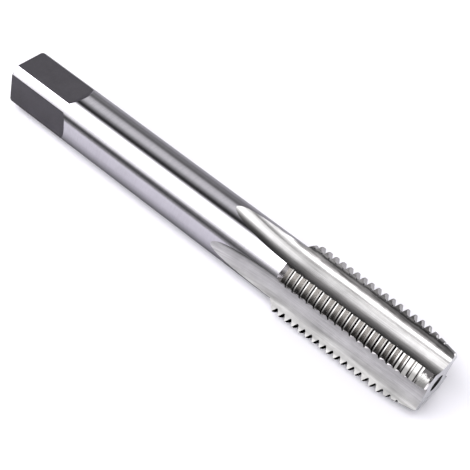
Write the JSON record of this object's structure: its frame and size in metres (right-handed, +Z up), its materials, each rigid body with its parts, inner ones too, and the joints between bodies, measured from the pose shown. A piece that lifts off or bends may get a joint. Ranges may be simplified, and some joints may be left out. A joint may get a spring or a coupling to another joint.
{
  "type": "thread tap",
  "caption": "Straight-flute hand tap in ground steel: driving square, plain shank, flutes running out on it, and a V thread with a tapered lead for cutting threads in drilled holes.",
  "frame": {"origin": "on the axis, in the plane of the driving square's end face", "axes": "+X along the axis from the driving square to the cutting tip; +Z up, square to the upper flat of the driving square, with the tap lying on the lands beside the flute that faces down"},
  "size_m": [0.095, 0.0122, 0.0122],
  "materials": {
    "ground_steel": "ground bright, the flats of the square left dark from heat treatment"
  },
  "bodies": {
    "root": {"thread_tap": "ground_steel"}
  },
  "joints": []
}
